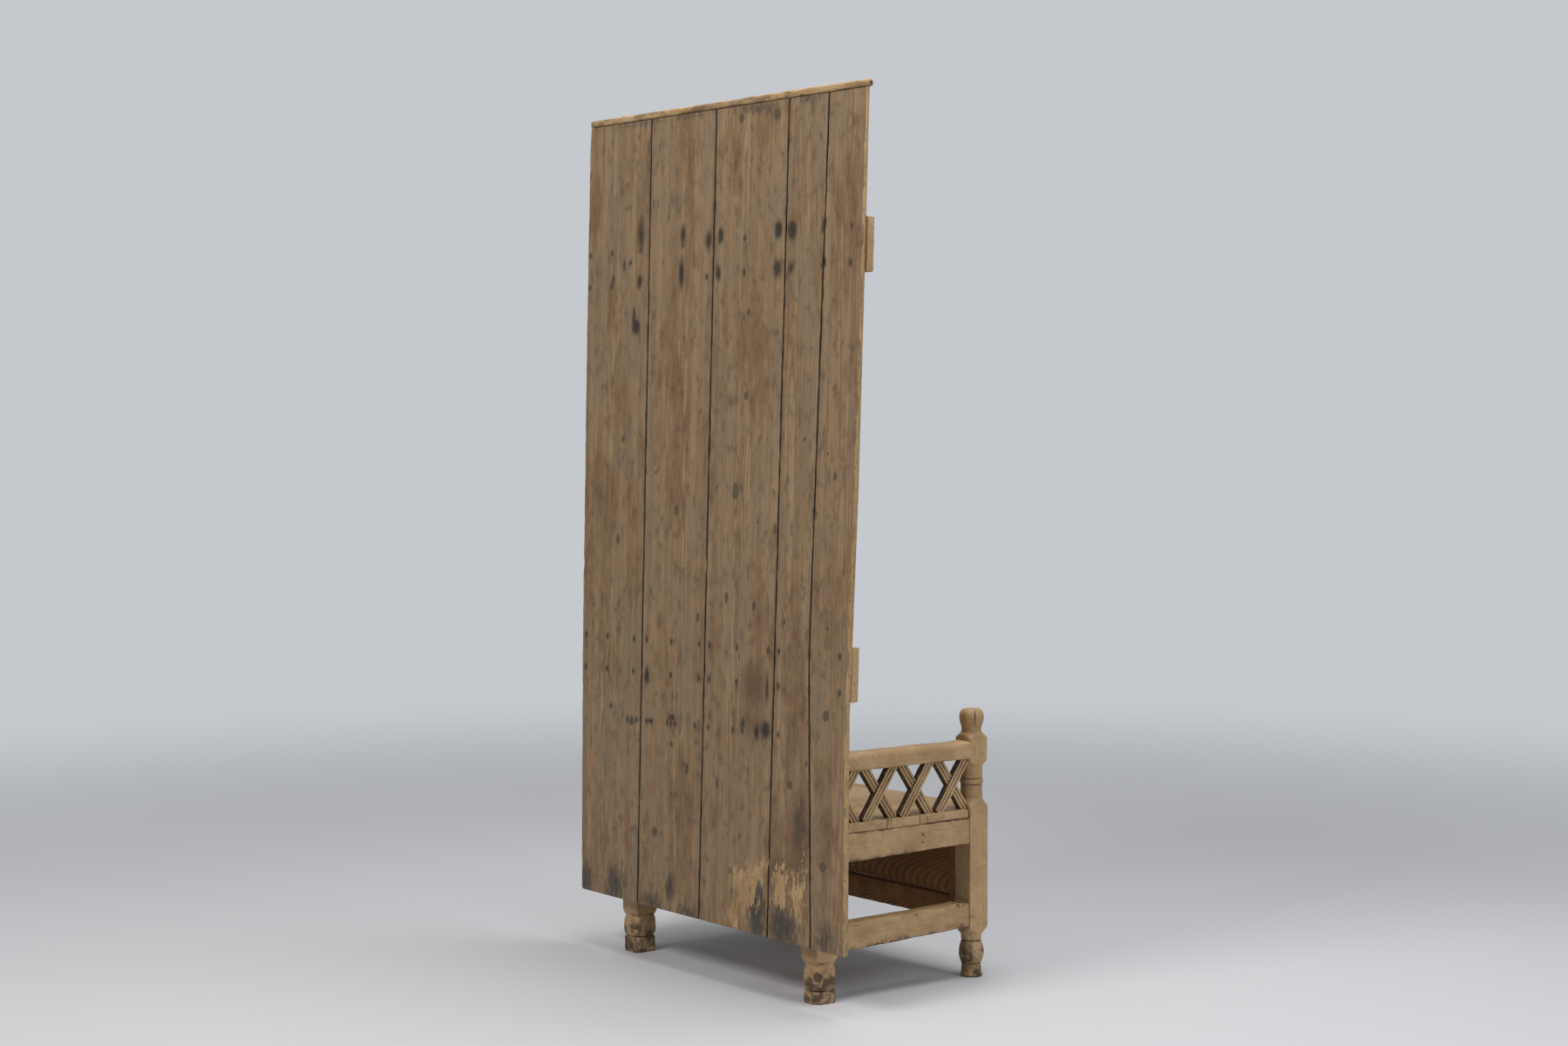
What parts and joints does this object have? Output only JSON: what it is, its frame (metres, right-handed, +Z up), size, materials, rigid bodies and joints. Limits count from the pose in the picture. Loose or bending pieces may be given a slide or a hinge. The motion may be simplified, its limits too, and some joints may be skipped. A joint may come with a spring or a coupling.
{
  "type": "monks bench",
  "caption": "Tilt-top monks bench in worn painted pine: a lattice-sided seat on turned posts whose tall plank back tips forward on a pivot to become a table.",
  "frame": {"origin": "on the floor, in the middle of the bench's width and depth", "axes": "+Z up; the seat opens towards -Y and the tall top stands at its +Y side; +X is the sitter's left"},
  "size_m": [1.18, 0.594, 2.2069],
  "materials": {
    "old_cream_paint": "old matt cream paint, worn, speckled and wormed",
    "seat_paint": "old cream paint rubbed smooth",
    "dark_wood": "bare dark wood, dry",
    "weathered_pine": "stripped weathered pine, dry, with black stains round the nails",
    "peg_wood": "bare riven wood",
    "rusty_iron": "rusted wrought iron"
  },
  "bodies": {
    "frame": {"front_post_left": "old_cream_paint", "front_post_right": "old_cream_paint", "rear_post_left": "old_cream_paint", "rear_post_right": "old_cream_paint", "seat_rail_left": "old_cream_paint", "seat_rail_right": "old_cream_paint", "stretcher_left": "old_cream_paint", "stretcher_right": "old_cream_paint", "arm_rail_left": "old_cream_paint", "arm_rail_right": "old_cream_paint", "panel_strip_left": "dark_wood", "panel_strip_right": "dark_wood", "seat_rail_front": "old_cream_paint", "seat_rail_rear": "dark_wood", "stretcher_front": "old_cream_paint", "stretcher_rear": "dark_wood", "front_panel": "dark_wood", "seat_board_front": "seat_paint", "seat_board_middle": "seat_paint", "seat_board_rear": "seat_paint", "seat_filler_front": "seat_paint", "seat_filler_rear": "seat_paint", "frame_pegs": "peg_wood", "seat_nails": "rusty_iron", "slat_rising_1_left": "old_cream_paint", "slat_falling_1_left": "old_cream_paint", "slat_rising_2_left": "old_cream_paint", "slat_falling_2_left": "old_cream_paint", "slat_rising_3_left": "old_cream_paint", "slat_falling_3_left": "old_cream_paint", "slat_rising_4_left": "old_cream_paint", "slat_falling_4_left": "old_cream_paint", "slat_rising_1_right": "old_cream_paint", "slat_falling_1_right": "old_cream_paint", "slat_rising_2_right": "old_cream_paint", "slat_falling_2_right": "old_cream_paint", "slat_rising_3_right": "old_cream_paint", "slat_falling_3_right": "old_cream_paint", "slat_rising_4_right": "old_cream_paint", "slat_falling_4_right": "old_cream_paint"},
    "top": {"top_plank_1": "weathered_pine", "top_plank_2": "weathered_pine", "top_plank_3": "weathered_pine", "top_plank_4": "weathered_pine", "top_plank_5": "weathered_pine", "top_end_cleat": "weathered_pine", "upper_batten": "weathered_pine", "lower_batten": "weathered_pine", "pivot_bar": "weathered_pine", "pivot_pins": "peg_wood", "upper_batten_nails": "rusty_iron", "lower_batten_nails": "rusty_iron", "pivot_bar_nails": "rusty_iron"}
  },
  "joints": [
    {"name": "top_tilt", "type": "hinge", "parent": "frame", "child": "top", "pos_m": [0, 0.22634, 0.64012], "axis": [1, 0, 0], "range_deg": [0, 88.3]}
  ]
}
